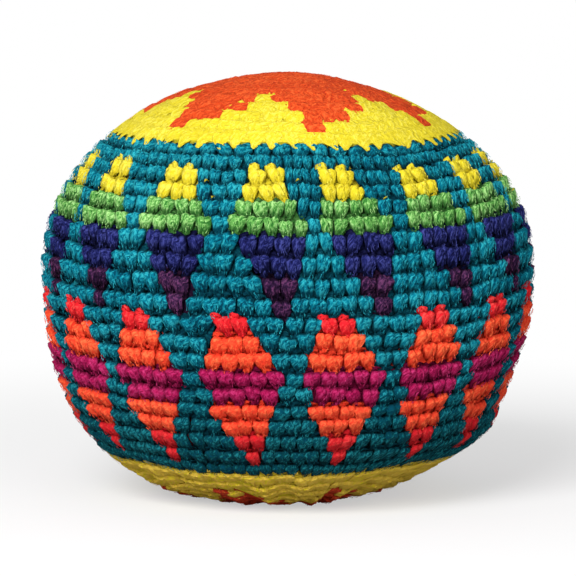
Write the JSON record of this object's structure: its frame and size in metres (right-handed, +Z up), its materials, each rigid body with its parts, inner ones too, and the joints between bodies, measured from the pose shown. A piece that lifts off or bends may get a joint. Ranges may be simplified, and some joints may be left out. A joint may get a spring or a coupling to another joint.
{
  "type": "bean bag",
  "caption": "Small round crocheted bean bag filled with plastic pellets, for kicking, juggling and tossing. It rests on a base pressed flat by its own weight.",
  "frame": {"origin": "on the floor under the middle of the flattened base", "axes": "+Z up through the middle of the base and of the crown, -Y towards the side that faces the camera"},
  "size_m": [0.06, 0.06, 0.0519],
  "materials": {
    "yarn_teal": "crocheted acrylic yarn",
    "yarn_yellow": "crocheted acrylic yarn",
    "yarn_flame": "crocheted acrylic yarn",
    "yarn_red": "crocheted acrylic yarn",
    "yarn_orange": "crocheted acrylic yarn",
    "yarn_magenta": "crocheted acrylic yarn",
    "yarn_purple": "crocheted acrylic yarn",
    "yarn_navy": "crocheted acrylic yarn",
    "yarn_green": "crocheted acrylic yarn",
    "pellet_plastic": "moulded, satin"
  },
  "bodies": {
    "root": {"base_starting_loop": "yarn_flame", "base_star": "yarn_flame", "base_field": "yarn_yellow", "teal_ground": "yarn_teal", "lower_red_tips": "yarn_red", "lower_orange_diamonds": "yarn_orange", "magenta_diamonds": "yarn_magenta", "upper_orange_diamonds": "yarn_orange", "upper_red_tips": "yarn_red", "purple_tips": "yarn_purple", "navy_triangles": "yarn_navy", "green_triangles": "yarn_green", "yellow_triangles": "yarn_yellow", "crown_field": "yarn_yellow", "crown_star": "yarn_flame", "crown_closing_knot": "yarn_flame", "pellet_layer_01": "pellet_plastic", "pellet_layer_02": "pellet_plastic", "pellet_layer_03": "pellet_plastic", "pellet_layer_04": "pellet_plastic", "pellet_layer_05": "pellet_plastic", "pellet_layer_06": "pellet_plastic", "pellet_layer_07": "pellet_plastic", "pellet_layer_08": "pellet_plastic", "pellet_layer_09": "pellet_plastic"}
  },
  "joints": []
}
